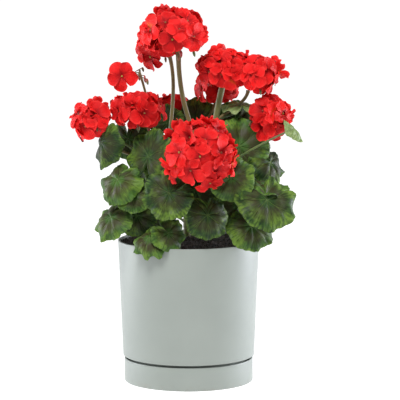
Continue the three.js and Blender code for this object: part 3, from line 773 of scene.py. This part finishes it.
def blade(name, hub, radius, normal, tipwards, bends, seed, young):
    """A blade's mesh, in place. The more a blade droops, the more it is pleated along its veins."""
    draw = random.Random(int(seed))
    slack = min(1.0, (bends[0] + bends[2]) / 70)
    mesh = grown(
        name, SHEET.copy(), BLADE, Radius=radius, Thickness=LEAF_HALF_THICKNESS,
        **{key: math.radians(bend) for key, bend in zip(("Cup", "Fold", "Droop"), bends)},
        Lobes=draw.uniform(0.015, 0.035), Scallop=draw.uniform(0.02, 0.04),
        Pucker=draw.uniform(0.02, 0.035) + 0.035 * slack, Pleat=0.05 * slack,
        Wave=draw.uniform(0.14, 0.24), Seed=seed,
        Upper=YOUNG_UPPER if young else LEAF_UPPER, Under=YOUNG_UNDER if young else LEAF_UNDER,
    )
    for key, value in (("tone", seed % 1.0), ("slack", slack)):
        layer = mesh.attributes.new(key, "FLOAT", "POINT")
        layer.data.foreach_set("value", [value] * len(mesh.vertices))
    axes = Matrix((tipwards, normal.cross(tipwards), normal)).transposed().to_4x4()
    mesh.transform(Matrix.Translation(hub) @ axes)
    return mesh


def add_leaves():
    for index, (stem, hub_place, radius, face, turn, bends) in enumerate(LEAVES):
        count = index + 1
        young = count in YOUNG_LEAVES
        hub = place(hub_place, count in RIM_LEAVES)
        normal, downhill = heading(face), heading((face[0], face[1] - 90))
        angle = math.radians(turn)
        tipwards = downhill * math.cos(angle) + normal.cross(downhill) * math.sin(angle)
        arrival = (normal + tipwards * 0.4).normalized()
        bow = BOWED_PETIOLES.get(count, 0) * MM
        path = shoot_path(on_stem(stem, PETIOLE_HEIGHTS[index]), hub, arrival, bow, PETIOLE_STEPS)
        radii = [PETIOLE_RADIUS * (1.35 - 0.5 * i / PETIOLE_STEPS) for i in range(PETIOLE_STEPS + 1)]
        name = f"leaf_{count:02d}"
        seed = (index * 0.618) % 1.0 + index
        stand_for(
            name, "young_leaf" if young else "leaf", "_blade",
            blade(name, hub, radius * MM, normal, tipwards, bends, seed, young),
            shoot(name + "_petiole", path, radii, PETIOLE_SIDES, PETIOLE_SKIN),
        )


# ---- Pot, saucer and mix ----
ROUND_SIDES = 128
LIP = 1.2 * MM
DRILL_SIDES = 32


def rounded(corners, radius, steps=4):
    """A profile whose inner corners are arcs, from sharp (radius, height) corners."""
    points = [corners[0]]
    for before, corner, after in zip(corners, corners[1:], corners[2:]):
        middle, back, ahead = Vector(corner), Vector(before) - Vector(corner), Vector(after) - Vector(corner)
        cut = min(radius, back.length * 0.45, ahead.length * 0.45)
        start, end = middle + back.normalized() * cut, middle + ahead.normalized() * cut
        for i in range(steps + 1):
            t = i / steps
            points.append(tuple(start * (1 - t) ** 2 + middle * (2 * t * (1 - t)) + end * t * t))
    points.append(corners[-1])
    return points


def turned(name, profile, sides=ROUND_SIDES):
    """A profile that starts and ends on the axis, turned about Z. It runs up the outside."""
    points, faces, rings = [], [], []
    for radius, height in profile:
        if radius < 1e-9:
            points.append((0.0, 0.0, height))
            rings.append([len(points) - 1] * sides)
            continue
        ring = []
        for i in range(sides):
            angle = 2 * math.pi * i / sides
            points.append((radius * math.cos(angle), radius * math.sin(angle), height))
            ring.append(len(points) - 1)
        rings.append(ring)
    for low, high in zip(rings, rings[1:]):
        for i in range(sides):
            j = (i + 1) % sides
            corners = [low[i], low[j], high[j], high[i]]
            faces.append([c for k, c in enumerate(corners) if c not in corners[:k]])
    return mesh_of(name, points, faces)


def wall_radius(height):
    """The tapered wall's outer radius at a height."""
    share = (height - SKIRT_Z) / (RIM_Z - SKIRT_Z)
    return SKIRT_RADIUS + (RIM_RADIUS - SKIRT_RADIUS) * share


def plastic_piece(node, ending, mesh):
    """A piece of the pot's plastic."""
    mesh.materials.clear()
    mesh.materials.append(PLASTIC)
    mesh.shade_smooth()
    stand_for(node, "pot_plastic", ending, mesh)


def add_saucer():
    inner = SAUCER_RADIUS - POT_WALL
    profile = rounded([
        (0.0, 0.0), (SAUCER_RADIUS, 0.0), (SAUCER_RADIUS, SAUCER_TOP), (inner, SAUCER_TOP),
        (inner, SAUCER_FLOOR), (0.0, SAUCER_FLOOR),
    ], LIP)
    plastic_piece("saucer", "_tray", turned("saucer_tray", profile))


def drill(mesh, centres, radius, depth):
    """The mesh with upright round holes through it. No corner of a hole falls on a seam of the mesh."""
    solid = put("solid", mesh)
    drills = []
    half_side = Matrix.Rotation(math.pi / DRILL_SIDES, 4, "Z")
    for centre in centres:
        bit = turned("bit", [(0.0, -depth), (radius, -depth), (radius, depth), (0.0, depth)], DRILL_SIDES)
        bit.transform(Matrix.Translation(centre) @ half_side)
        drills.append(bit)
    cut = solid.modifiers.new("holes", "BOOLEAN")
    cut.object = shown("cutter", *drills)
    cut.operation = "DIFFERENCE"
    depsgraph = bpy.context.evaluated_depsgraph_get()
    made = bpy.data.meshes.new_from_object(solid.evaluated_get(depsgraph), depsgraph=depsgraph)
    for used in (cut.object, solid):
        bpy.data.objects.remove(used)
    return made


def add_pot():
    ledge = SKIRT_Z + POT_WALL
    foot_inside = FOOT_RADIUS - POT_WALL
    profile = rounded([
        (0.0, FOOT_Z), (FOOT_RADIUS, FOOT_Z), (FOOT_RADIUS, SKIRT_Z), (SKIRT_RADIUS, SKIRT_Z),
        (RIM_RADIUS, RIM_Z), (RIM_RADIUS - POT_WALL, RIM_Z), (wall_radius(ledge) - POT_WALL, ledge),
        (foot_inside, ledge), (foot_inside, FOOT_Z + POT_WALL), (0.0, FOOT_Z + POT_WALL),
    ], LIP)
    angles = [2 * math.pi * i / DRAIN_HOLES for i in range(DRAIN_HOLES)]
    reach = FOOT_RADIUS / 2
    holes = [(reach * math.cos(a), reach * math.sin(a), FOOT_Z) for a in angles]
    plastic_piece("pot", "_shell", drill(turned("pot_shell", profile), holes, DRAIN_RADIUS, 2 * POT_WALL))


def mix_tree():
    """Lumps the mix's surface and scatters chips and crumbs over it."""
    tree, given, result = geometry_tree(
        "Potting mix", Float="Density Chip Lumps", Object="Shape", Int="Seed", Material="Material"
    )
    top = attribute(tree, "top")
    lump = (noise(tree, add(tree, "InputPosition"), 70.0, 3.0) - 0.5) * given["Lumps"] * top
    lumpy = add(tree, "SetPosition", Geometry=given["Geometry"], Offset=vector(tree, 0.0, 0.0, lump))
    scattered = add(
        tree, "DistributePointsOnFaces", Mesh=lumpy, Density=given["Density"],
        Selection=top.math("GREATER_THAN", 0.9), Seed=given["Seed"],
    )
    size = random_vector(tree, (0.5, 0.5, 0.5), (1.9, 1.3, 1.0), 3)
    chips = add(
        tree, "InstanceOnPoints", Points=scattered,
        Instance=add(tree, "ObjectInfo", Object=given["Shape"]).outputs["Geometry"],
        Rotation=random_vector(tree, (0.0, 0.0, 0.0), (6.28, 6.28, 6.28), given["Seed"]),
        Scale=vector_math(tree, "SCALE", size, given["Chip"]),
    )
    both = add(tree, "JoinGeometry")
    for part in (chips, lumpy):
        connect(tree, part, both.inputs[0])
    finish_tree(tree, both, given["Material"], result)
    return tree


def add_potting_mix():
    bottom = FOOT_Z + POT_WALL + CLEARANCE
    shoulder = SKIRT_Z + POT_WALL + CLEARANCE
    foot = FOOT_RADIUS - POT_WALL - CLEARANCE
    gap = POT_WALL + CLEARANCE
    edge = wall_radius(MIX_Z) - gap
    angles = [math.pi / 2 * i / 40 for i in range(1, 40)]
    body = turned("mix_body", [
        (0.0, bottom), (foot, bottom), (foot, shoulder), (wall_radius(shoulder) - gap, shoulder),
        (edge, MIX_Z), *((edge * math.cos(a), MIX_Z + MIX_CROWN * math.sin(a)) for a in angles),
        (0.0, MIX_Z + MIX_CROWN),
    ])
    is_top = [float(vertex.co.z > MIX_Z + 0.0001) for vertex in body.vertices]
    body.attributes.new("top", "FLOAT", "POINT").data.foreach_set("value", is_top)
    chip = shown("chip", turned("chip", [(0.0, -0.5), (0.85, -0.3), (1.0, 0.2), (0.0, 0.5)], 5))
    mesh = grown(
        "potting_mix_surface", body, mix_tree(),
        Density=42000.0, Chip=1.6 * MM, Lumps=5 * MM, Shape=chip, Seed=4, Material=MIX,
    )
    bpy.data.objects.remove(chip)
    mesh.shade_smooth()
    stand_for("potting_mix", "potting_mix", "_surface", mesh)


# ---- Stems and stalks ----
STEM_STEPS = 60
STEM_SIDES = 14
STALK_STEPS = 24
STALK_SIDES = 12


def add_stems():
    """The main stems, swollen where a petiole or stalk leaves them."""
    for stem, corners in STEMS.items():
        knots = [PETIOLE_HEIGHTS[i] for i, leaf in enumerate(LEAVES) if leaf[0] == stem]
        knots += [part["from"] for part in HEAD_PARTS if part["stem"] == stem]
        points = bezier([place(p) for p in corners], STEM_STEPS)
        radii = []
        for i, point in enumerate(points):
            above = point.z - MIX_Z
            swell = sum(math.exp(-(((above - knot) / (2.2 * MM)) ** 2)) for knot in knots)
            taper = 1.08 - 0.2 * i / STEM_STEPS
            end = 0.75 if i in (0, STEM_STEPS) else 1.0
            radii.append(STEM_RADIUS * taper * end * (1 + 0.13 * min(swell, 1.0)))
        name = "main_stem_" + stem
        stand_for(name, "stem", "_bark", shoot(name, points, radii, STEM_SIDES, STEM_BARK))


def add_stalks():
    """The heads' stalks, thicker at both ends. A head whose stalk has no radius sits on its stem."""
    for index, part in enumerate(HEAD_PARTS):
        if part["stalk"]:
            start = on_stem(part["stem"], part["from"])
            arrival = (part["face"] * 0.5 + Vector((0, 0, 1))).normalized()
            path = shoot_path(start, part["top"], arrival, part["sway"], STALK_STEPS)
            radii = [
                part["stalk"] * (1.0 + 0.25 * math.exp(-i / 1.5) + 0.3 * math.exp(-(STALK_STEPS - i) / 1.2))
                for i in range(STALK_STEPS + 1)
            ]
            name = f"flower_stalk_{index + 1:02d}"
            stand_for(name, "stalk", "_skin", shoot(name, path, radii, STALK_SIDES, STALK_SKIN))


# ---- Flowers ----
PETAL_COLUMNS = (-1.0, -0.72, -0.36, 0.0, 0.36, 0.72, 1.0)
PETAL_ROWS = (0.0, 0.3, 0.6, 0.8, 0.93, 1.0)
ROUNDS_OFF = 0.6  # the share of its reach at which a petal is widest
SMALLEST_PETAL = 0.88  # as a share of the usual size
LARGEST_PETAL = 1.08
PEDICEL_RADIUS = 0.65 * MM
PEDICEL_SIDES = 5
PEDICEL_POINTS = 7


def petal_sheet():
    """A petal before it is shaped: two sides that share their edge."""
    points, faces = [], []
    numbers = {"along": [], "wide": [], "side": []}
    grids = {}
    for side in (1.0, -1.0):
        grid = []
        for r, along in enumerate(PETAL_ROWS):
            row = []
            for c, wide in enumerate(PETAL_COLUMNS):
                at_edge = r in (0, len(PETAL_ROWS) - 1) or c in (0, len(PETAL_COLUMNS) - 1)
                if at_edge and side < 0:
                    row.append(grids[1.0][r][c])
                    continue
                points.append((wide, along, 0.0))
                numbers["along"].append(along)
                numbers["wide"].append(wide)
                numbers["side"].append(0.0 if at_edge else side)
                row.append(len(points) - 1)
            grid.append(row)
        grids[side] = grid
        for r in range(len(PETAL_ROWS) - 1):
            for c in range(len(PETAL_COLUMNS) - 1):
                corners = (grid[r][c], grid[r][c + 1], grid[r + 1][c + 1], grid[r + 1][c])
                faces.append(corners if side > 0 else corners[::-1])
    mesh = mesh_of("petal_sheet", points, faces, numbers)
    rims = mesh.attributes.new("sharp_edge", "BOOLEAN", "EDGE")
    edge_of = {}
    for polygon in mesh.polygons:
        for key in polygon.edge_keys:
            edge_of.setdefault(key, []).append(polygon.index)
    half = len(faces) // 2
    for edge in mesh.edges:
        owners = edge_of[tuple(sorted(edge.vertices))]
        rims.data[edge.index].value = len(owners) == 2 and (owners[0] < half) != (owners[1] < half)
    return mesh


def floret_tree():
    """Shapes one petal and repeats it round the flower's eye, each a little different."""
    tree, given, result = geometry_tree(
        "Floret", Int="Petals Seed", Float="Reach Width Opening Curl Cup Ruffle", Material="Material"
    )
    along, wide, side = (attribute(tree, key) for key in ("along", "wide", "side"))
    past = (along - ROUNDS_OFF) / (1.04 - ROUNDS_OFF)
    blunt = (1.0 - past * past).math("MAXIMUM", 0.0).math("SQRT")
    widest = along.step(-0.12, ROUNDS_OFF, 0.1, 1.0)
    half = given["Width"] * widest * blunt.math("MAXIMUM", along.step(0.5, 0.6, 1.0, 0.0))
    outwards = along - wide * wide * along.step(0.25, 1.0) * 0.05
    lift = outwards * given["Opening"] - outwards * outwards * given["Curl"]
    lift = lift + wide * wide * given["Cup"] * along + side * 0.012
    shaped = add(
        tree, "SetPosition", Geometry=given["Geometry"],
        Position=vector(tree, wide * half, outwards * given["Reach"] + 0.0008, lift * given["Reach"]),
    )
    spin = number(tree, "InputIndex") * (2 * math.pi) / given["Petals"]
    jitter = random_vector(tree, (-0.16, -0.1, -0.14), (0.2, 0.1, 0.14), given["Seed"])
    drawn = add(tree, "RandomValue", {"data_type": "FLOAT"}, Seed=given["Seed"])
    drawn.inputs[2].default_value = SMALLEST_PETAL
    drawn.inputs[3].default_value = LARGEST_PETAL
    size = Number(tree, drawn.outputs[1])
    ring = add(
        tree, "InstanceOnPoints", Points=add(tree, "Points", Count=given["Petals"]), Instance=shaped,
        Rotation=vector_math(tree, "ADD", vector(tree, 0.0, 0.12, spin), jitter),
        Scale=vector(tree, size, size, 1.0),
    )
    toned = add(
        tree, "StoreNamedAttribute", {"data_type": "FLOAT", "domain": "INSTANCE"},
        Geometry=ring, Name="tone", Value=size * 5.0 - 4.4,
    )

    def ruffled(geometry):
        shift = vector(tree, given["Seed"] * 0.37, 0.0, 0.0)
        where = vector_math(tree, "ADD", add(tree, "InputPosition"), shift)
        wave = (noise(tree, where, 75.0, 1.0) - 0.5) * given["Ruffle"] * along
        return add(tree, "SetPosition", Geometry=geometry, Offset=vector(tree, 0.0, 0.0, wave))

    finish_tree(tree, toned, given["Material"], result, ruffled)
    return tree


KINDS = ("First", "Second", "Third", "Fourth")


def head_tree():
    """Sets a flower on each point, facing as the point says."""
    tree, given, result = geometry_tree("Flower head", Object=" ".join(KINDS), Material="Material")
    kinds = add(tree, "GeometryToInstance")
    for name in reversed(KINDS):
        info = add(tree, "ObjectInfo", {"transform_space": "ORIGINAL"}, Object=given[name])
        connect(tree, info.outputs["Geometry"], kinds.inputs[0])
    facing = attribute(tree, "facing", "FLOAT_VECTOR")
    turned_to = add(tree, "RotateRotation", {"rotation_space": "LOCAL"})
    aimed = add(tree, "AlignRotationToVector", {"axis": "Z"}, Vector=facing)
    spin = add(tree, "AxisAngleToRotation", Angle=attribute(tree, "twist"))
    for socket, value in zip(turned_to.inputs, (aimed, spin)):
        connect(tree, value, socket)
    size = attribute(tree, "size")
    flowers = add(
        tree, "InstanceOnPoints", Points=add(tree, "MeshToPoints", Mesh=given["Geometry"]),
        Instance=kinds, Pick_Instance=True, Instance_Index=attribute(tree, "kind"), Rotation=turned_to,
        Scale=vector(tree, size, size, size),
    )
    finish_tree(tree, flowers, given["Material"], result)
    return tree


def spray_tree():
    """Fans the thin flower stems out from the stalk's end, one to each point."""
    tree, given, result = geometry_tree("Spray", Float="Thickness", Vector="Root Bow", Material="Material")
    line = add(tree, "ResampleCurve", Curve=add(tree, "CurvePrimitiveLine"), Count=PEDICEL_POINTS)
    spots = add(tree, "MeshToPoints", Mesh=given["Geometry"])
    threads = add(tree, "InstanceOnPoints", Points=spots, Instance=line)
    along, spot = number(tree, "SplineParameter"), attribute(tree, "spot", "FLOAT_VECTOR")
    rest = 1.0 - along
    path = vector_math(tree, "SCALE", given["Root"], rest * rest)
    for corner, weight in ((given["Bow"], rest * along * 2.0), (spot, along * along)):
        path = vector_math(tree, "ADD", path, vector_math(tree, "SCALE", corner, weight))
    loose = add(tree, "RealizeInstances", Geometry=threads)
    laid = add(tree, "SetPosition", Geometry=loose, Position=path)
    return tube_along(tree, given, laid, PEDICEL_SIDES, given["Thickness"], result)


FLORET, FLOWER_HEAD, SPRAY = floret_tree(), head_tree(), spray_tree()


def floret_kinds():
    """The open flowers that the heads are made of: flat, full, cupped and half open."""
    keys = ("Petals", "Opening", "Curl", "Cup", "Ruffle", "Width")
    shapes = (
        (5, 0.3, 0.45, 0.12, 4 * MM, 10.2 * MM),
        (5, 0.5, 0.6, 0.16, 5 * MM, 10.2 * MM),
        (6, 0.75, 0.65, 0.2, 5 * MM, 9.8 * MM),
        (5, 1.0, 0.5, 0.24, 5 * MM, 9.2 * MM),
    )
    kinds = []
    for i, shape in enumerate(shapes):
        name = f"floret_kind_{i}"
        values = {**dict(zip(keys, shape)), "Seed": i + 1, "Reach": FLORET_REACH, "Material": PETAL}
        kinds.append(shown(name, grown(name, petal_sheet(), FLORET, **values)))
    return kinds


HEAD_COVER = 1.2  # how far round its dome a head has flowers: 1 is a half ball, 2 a whole one
OVERLAP = 1.9  # how many times over the flowers cover the dome
STANDS_OUT = 0.35  # how deep in the dome the flowers seen best sit, as a share of a flower's reach


def flower_directions(part, draw):
    """The flowers seen best, and others evenly round the dome between them."""
    best = [heading(d) for d in part["seen"]]
    others = []
    golden = math.pi * (3 - math.sqrt(5))
    across = part["face"].orthogonal().normalized()
    third = part["face"].cross(across)
    flower = (FLORET_REACH / part["radius"]) ** 2 / 2
    count = int(OVERLAP * HEAD_COVER / flower)
    apart = math.sqrt(2 * HEAD_COVER / count)
    for i in range(count):
        height = 1 - HEAD_COVER * (i + 0.5) / count
        ring = math.sqrt(max(0.0, 1 - height * height))
        angle = i * golden + draw.random() * 0.4
        aside = across * (ring * math.cos(angle))
        direction = part["face"] * height + aside + third * (ring * math.sin(angle))
        clear = all(direction.angle(other) > apart for other in best)
        if clear and direction.z > math.sin(math.radians(part["lowest"])):
            others.append(direction)
    return best + others


def flower_cloud(name, part, draw):
    """A point for each flower of a head, which knows how the flower on it sits."""
    points, sits = [], []
    single = len(part["seen"]) == 1
    directions = [heading(part["seen"][0])] if single else flower_directions(part, draw)
    for i, direction in enumerate(directions):
        seen = i < len(part["seen"])
        depth = part["radius"] - FLORET_REACH * (STANDS_OUT if seen else draw.uniform(0.4, 0.85))
        reach = direction * (0.0 if single else depth)
        point = part["centre"] + Vector((reach.x, reach.y, reach.z * part["flat"]))
        bloom = draw.random()
        wobble = Vector([draw.uniform(-0.4, 0.4) for _ in range(3)]) * (0.25 if seen else 1.0)
        points.append(point)
        sits.append({
            "facing": (direction + wobble).normalized(),
            "twist": draw.uniform(0, 2 * math.pi),
            "size": draw.uniform(1.0, 1.12) if seen else draw.uniform(0.8, 1.04),
            "kind": draw.choice((0.0, 0.0, 1.0) if seen else (0.0, 1.0, 1.0, 2.0, 2.0, 3.0)),
            "spot": point - direction * MM,
            "bloom": bloom,
        })
    return mesh_of(name, points, [], gathered(sits))


def bud_cloud(name, part, draw, count):
    """Points for the buds that hang below a head's flowers."""
    sits = []
    middle = part["top"] if len(part["seen"]) == 1 else part["centre"]
    across = part["face"].orthogonal().normalized()
    for _ in range(count):
        around = draw.uniform(0, 2 * math.pi)
        ring = across * math.cos(around) + part["face"].cross(across) * math.sin(around)
        direction = (ring * 0.8 - part["face"] * draw.uniform(0.1, 0.6)).normalized()
        sits.append({
            "spot": middle + direction * part["radius"] * draw.uniform(0.5, 0.8),
            "facing": (direction * 0.5 + Vector((0, 0, -1))).normalized(),
            "twist": 0.0, "size": draw.uniform(0.7, 1.3), "kind": 0.0,
        })
    return mesh_of(name, [sit["spot"] for sit in sits], [], gathered(sits))


BUDS = 6  # to a head
# sides, then corners of the profile as (radius, height) in millimetres
SMALL_PARTS = {
    "eye": (7, [(0, -1.2), (1.5, -0.4), (1.3, 1.1), (0, 1.7)]),
    "cup": (7, [(0, -5), (0.9, -4), (1.9, -1), (0, 0)]),
    "bud": (8, [(0, -1), (1.3, 0), (1.9, 2.5), (1.4, 5.5), (0, 8)]),
}


def on_points(name, points, shapes, finish):
    """Four kinds of shape set on points, as the points say."""
    return grown(name, points.copy(), FLOWER_HEAD, Material=finish, **dict(zip(KINDS, shapes)))


def add_flower_heads():
    kinds = floret_kinds()
    small = [
        shown(name, turned(name, [(radius * MM, height * MM) for radius, height in profile], sides))
        for name, (sides, profile) in SMALL_PARTS.items()
    ]
    eye, cup, bud = small
    for index, part in enumerate(HEAD_PARTS):
        draw = random.Random(30 + index)
        name = f"flower_head_{index + 1:02d}"
        cloud = flower_cloud(name + "_flowers", part, draw)
        buds = bud_cloud(name + "_buds", part, draw, BUDS)
        fan = {
            "Thickness": PEDICEL_RADIUS, "Root": part["top"], "Material": PEDICEL,
            "Bow": part["top"] + (part["centre"] - part["top"]) * 0.5 + part["face"] * 2 * MM,
        }
        greens = [grown(name, points.copy(), SPRAY, **fan) for points in (cloud, buds)]
        for points, shape, finish in ((cloud, eye, EYE), (cloud, cup, BUD), (buds, bud, BUD)):
            greens.append(on_points(name, points, [shape] * 4, finish))
        stand_for(name, "petal", "_petals", on_points(name, cloud, kinds, PETAL))
        stand_for(name, "stalk", "_spray", *greens)
    for used in (*kinds, *small):
        bpy.data.objects.remove(used)


# ---- Stage ----
CAMERA_PLACE = (0.0, -3.4, 0.69)
CAMERA_AIM = (0.01625, -0.02682, 0.26412)
LIGHTS_AIM = (0.0, 0.0, 0.28)
WHITE = (1.0, 1.0, 1.0)
COOL = (0.89, 0.91, 1.0)
GREY = (0.4, 0.4, 0.4, 1.0)
SKY_STRENGTH = 0.362
LENS = 215.1
FLOOR_HALF = 30.0


def aim_at(piece, location, target):
    """Puts a camera or a light at a place, turned to a target."""
    piece.location = location
    piece.rotation_mode = "QUATERNION"
    piece.rotation_quaternion = (Vector(target) - Vector(location)).to_track_quat("-Z", "Y")


def add_camera():
    data = bpy.data.cameras.new("camera")
    data.lens = LENS
    data.sensor_width = 36.0
    data.clip_end = 100.0
    bpy.context.scene.camera = put("camera", data)
    aim_at(bpy.context.scene.camera, CAMERA_PLACE, CAMERA_AIM)


def add_light(name, location, size, power, colour):
    data = bpy.data.lights.new(name, "AREA")
    data.shape = "DISK"
    data.color = colour
    data.size = size
    data.energy = power
    aim_at(put(name, data), location, LIGHTS_AIM)


def add_stage():
    scene = bpy.context.scene
    scene.view_settings.view_transform = "Standard"
    scene.world = bpy.data.worlds.new("studio")
    scene.world.use_nodes = True
    background = scene.world.node_tree.nodes["Background"].inputs
    background["Color"].default_value = (*WHITE, 1.0)
    background["Strength"].default_value = SKY_STRENGTH
    white, _ = material(
        "floor_white", 0.9, Base_Color=GREY, Emission_Color=(*WHITE, 1.0), Emission_Strength=0.9
    )
    floor = bpy.data.meshes.new("floor")
    corners = [(x * FLOOR_HALF, y * FLOOR_HALF, 0) for x, y in ((-1, -1), (1, -1), (1, 1), (-1, 1))]
    floor.from_pydata(corners, [], [(0, 1, 2, 3)])
    floor.materials.append(white)
    put("floor", floor)
    add_light("left", (-2.1, 0.8, 0.5), 1.4, 42.0, COOL)
    add_light("right", (2.1, 0.8, 0.5), 1.4, 67.0, COOL)
    add_light("top", (-0.4, -1.3, 2.4), 1.0, 58.5, WHITE)


add_camera()
add_stage()
add_saucer()
add_pot()
add_potting_mix()
add_stems()
add_stalks()
add_leaves()
add_flower_heads()
